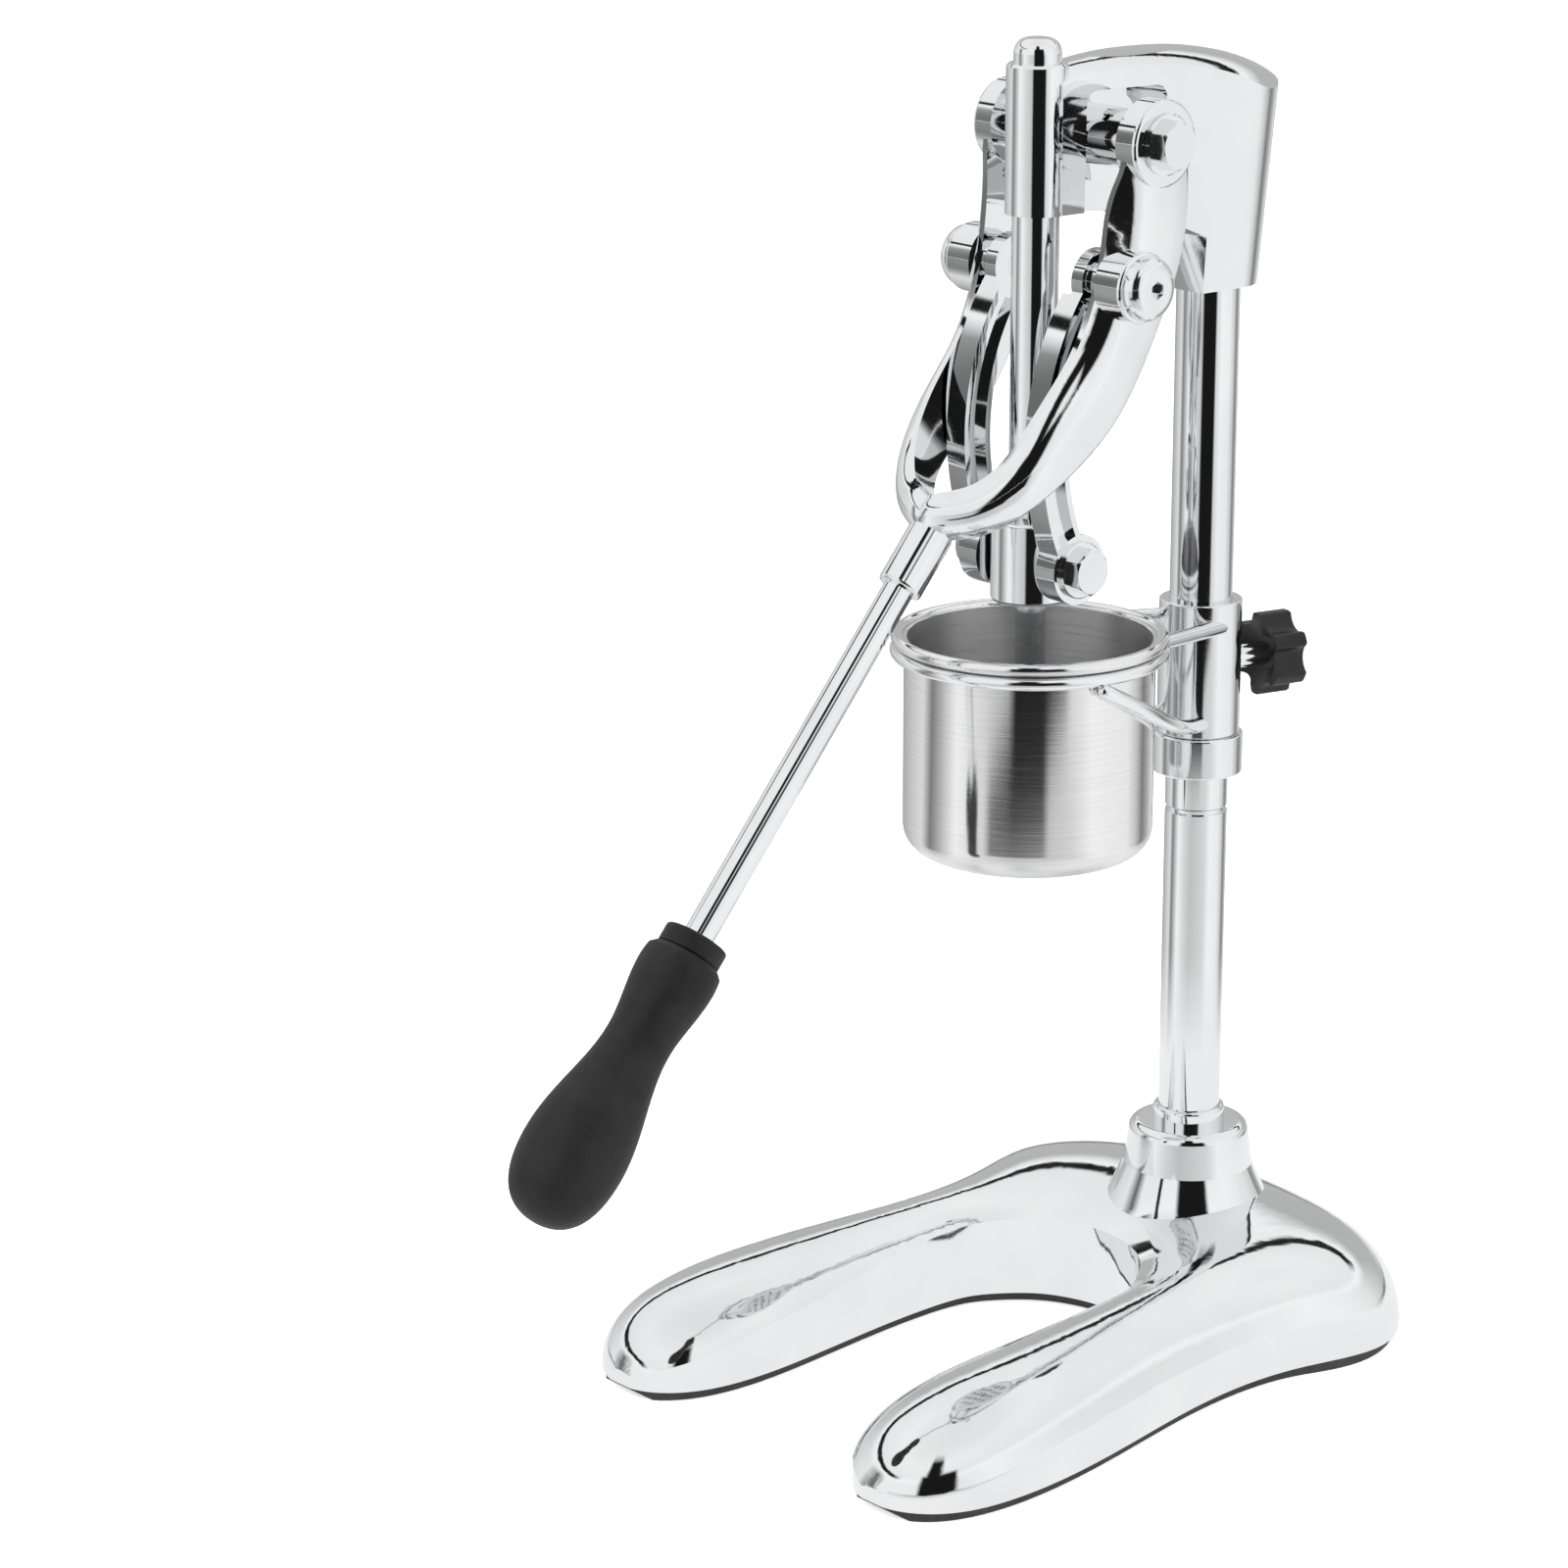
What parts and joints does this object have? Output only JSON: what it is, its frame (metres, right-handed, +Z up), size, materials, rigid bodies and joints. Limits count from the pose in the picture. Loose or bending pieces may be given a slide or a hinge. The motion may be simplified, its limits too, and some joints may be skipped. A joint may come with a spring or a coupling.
{
  "type": "potato cutter",
  "caption": "Chromed lever press for potato strips: a forked lever and curved links push a ram and piston through a round cup held on a column over a horseshoe base.",
  "frame": {"origin": "on the table under the column axis, on the underside of the sole", "axes": "+Z up along the column, -Y towards the handle and the open side of the base, +X to the right seen from the handle side"},
  "size_m": [0.2128, 0.4101, 0.524],
  "materials": {
    "chrome": "polished chrome plating on turned steel",
    "chromed_casting": "polished chrome plating on a casting",
    "stainless": "polished stainless sheet and wire",
    "zinc_steel": "bright zinc plated steel",
    "black_plastic": "black moulded plastic, semi gloss",
    "black_rubber": "black rubber sheet"
  },
  "bodies": {
    "frame": {"base_casting": "chromed_casting", "base_sole": "black_rubber", "collar_set_screw": "zinc_steel", "column_bolt": "zinc_steel", "column_foot_ring": "chrome", "column_joint_stud": "zinc_steel", "column_lower": "chrome", "column_upper": "chrome", "column_washer": "zinc_steel", "head_casting": "chromed_casting", "head_set_screw": "zinc_steel", "holder_arms": "stainless", "holder_braces": "stainless", "holder_ring": "stainless", "holder_sleeve": "chrome", "pivot_bolts": "chrome", "pivot_shaft": "chrome", "pivot_spacers": "chrome", "pivot_washers": "chrome", "stop_collar": "chrome"},
    "lever": {"lever_fork": "chromed_casting", "link_screws": "chrome", "link_spacers": "chrome", "handle_rod": "chrome", "grip_collar": "black_plastic", "handle_grip": "black_plastic"},
    "links": {"link_right": "chromed_casting", "link_left": "chromed_casting", "crosshead_bolts": "chrome", "crosshead_washers": "chrome"},
    "ram": {"ram_rod": "chrome", "crosshead": "chrome", "piston_stem": "chrome", "piston": "stainless", "piston_nut": "zinc_steel"},
    "clamp": {"clamp_knob": "black_plastic", "clamp_stud": "chrome"},
    "cup": {"cup": "stainless"}
  },
  "joints": [
    {"name": "lever_pivot", "type": "hinge", "parent": "frame", "child": "lever", "pos_m": [0, -0.0705, 0.4865], "axis": [-1, 0, 0], "range_deg": [0, 120]},
    {"name": "link_pivot", "type": "hinge", "parent": "lever", "child": "links", "pos_m": [0, -0.084, 0.435], "axis": [-1, 0, 0], "range_deg": [-134, 0]},
    {"name": "ram_slide", "type": "slide", "parent": "frame", "child": "ram", "axis": [0, 0, 1], "range_m": [0, 0.09]},
    {"name": "clamp_turn", "type": "hinge", "parent": "frame", "child": "clamp", "pos_m": [0.00841, 0.03139, 0.268], "axis": [0.2588, 0.9659, 0], "range_deg": [0, 360]},
    {"name": "cup_turn", "type": "hinge", "parent": "frame", "child": "cup", "pos_m": [0, -0.095, 0.29], "axis": [0, 0, 1], "continuous": true}
  ],
  "couplings": [
    {"joint": "link_pivot", "follows": "lever_pivot", "ratio": -1.1064},
    {"joint": "ram_slide", "follows": "lever_pivot", "m_per_rad": 0.042592}
  ]
}
